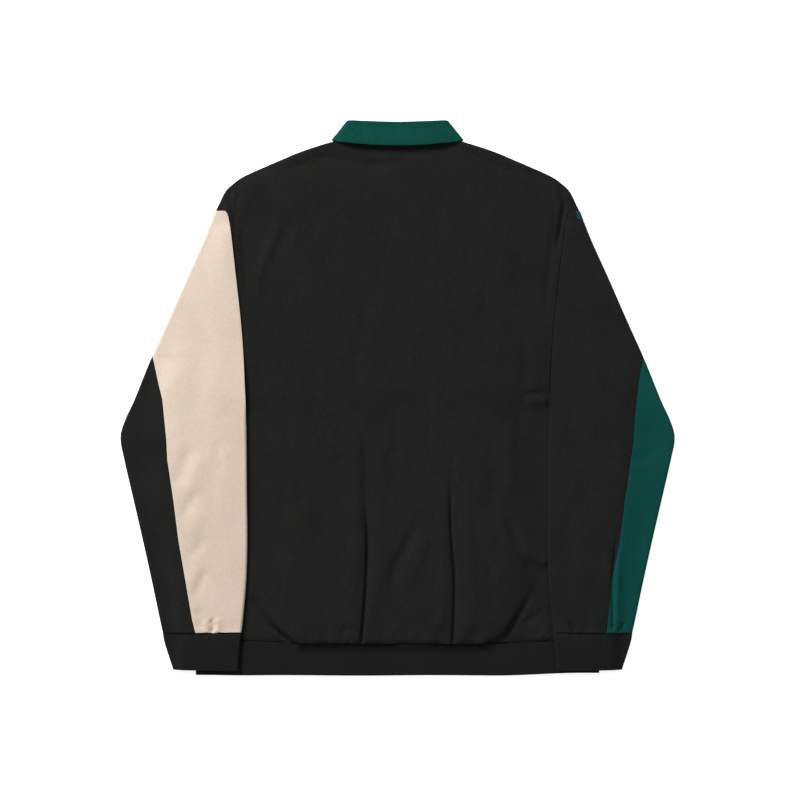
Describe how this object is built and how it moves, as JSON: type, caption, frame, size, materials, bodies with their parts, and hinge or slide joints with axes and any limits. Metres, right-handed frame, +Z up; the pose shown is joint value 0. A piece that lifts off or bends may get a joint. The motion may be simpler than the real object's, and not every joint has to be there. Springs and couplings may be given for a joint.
{
  "type": "sweat polo",
  "caption": "Long-sleeved sweat polo laid flat on its front, back up, with a folded rib-knit collar and sleeves folded down beside the body.",
  "frame": {"origin": "centre of the garment's outline as it lies, on the surface it lies on", "axes": "+Z up from the surface, through the back; +Y towards the collar; +X towards the plain sleeve"},
  "size_m": [0.7188, 0.7205, 0.0132],
  "materials": {
    "black_jersey": "matt sweat jersey",
    "cream_jersey": "matt sweat jersey",
    "green_jersey": "matt sweat jersey",
    "black_band": "matt doubled jersey band",
    "green_knit": "flat rib knit",
    "button": "satin"
  },
  "bodies": {
    "root": {"body_front": "black_jersey", "body_back": "black_jersey", "sleeve_left_back": "cream_jersey", "sleeve_left_front": "black_jersey", "sleeve_right_back": "black_jersey", "sleeve_right_front": "green_jersey", "hem_band": "black_band", "cuff_left": "black_band", "cuff_right": "black_band", "collar": "green_knit", "placket_outer": "black_band", "placket_under": "black_band", "button_1": "button", "button_2": "button", "button_3": "button"}
  },
  "joints": []
}
